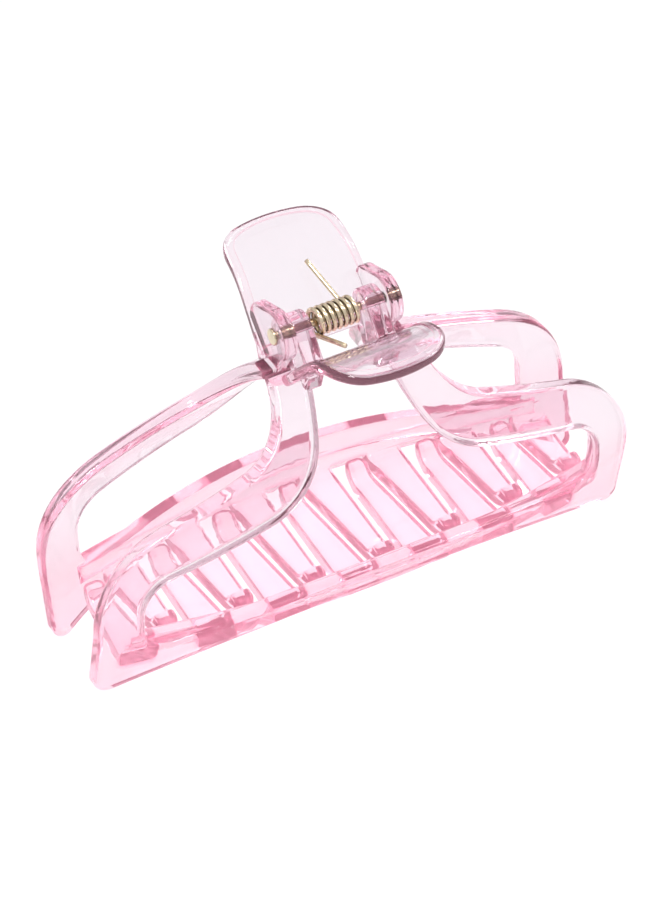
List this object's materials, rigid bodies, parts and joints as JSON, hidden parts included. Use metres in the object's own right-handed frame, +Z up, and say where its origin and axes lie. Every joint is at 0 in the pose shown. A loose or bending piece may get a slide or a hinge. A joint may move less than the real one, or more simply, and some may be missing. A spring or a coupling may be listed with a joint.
{
  "type": "claw clip",
  "caption": "Large hair claw clip: bowed jaws with interlocking teeth on a rivet pin, closed by a torsion spring, opened by thumb plates.",
  "frame": {"origin": "middle of the underside, on the surface that the closed clip stands on", "axes": "+X along the hinge pin and the jaws' length, +Y towards the back jaw, +Z up from the teeth to the hinge"},
  "size_m": [0.1106, 0.0514, 0.0646],
  "materials": {
    "back_jaw_plastic": "clear pink gloss",
    "front_jaw_plastic": "clear pink gloss",
    "pin_brass": "bright brass plating",
    "spring_brass": "bright brass plating"
  },
  "bodies": {
    "back": {"back_jaw": "back_jaw_plastic", "hinge_pin": "pin_brass", "torsion_spring": "spring_brass"},
    "front": {"front_jaw": "front_jaw_plastic"}
  },
  "joints": [
    {"name": "jaw_hinge", "type": "hinge", "parent": "back", "child": "front", "pos_m": [0, 0, 0.0585], "axis": [-1, 0, 0], "range_deg": [0, 80], "stiffness_Nm_per_rad": 0.12, "springref_deg": -57.3, "deforming": ["torsion_spring"]}
  ]
}
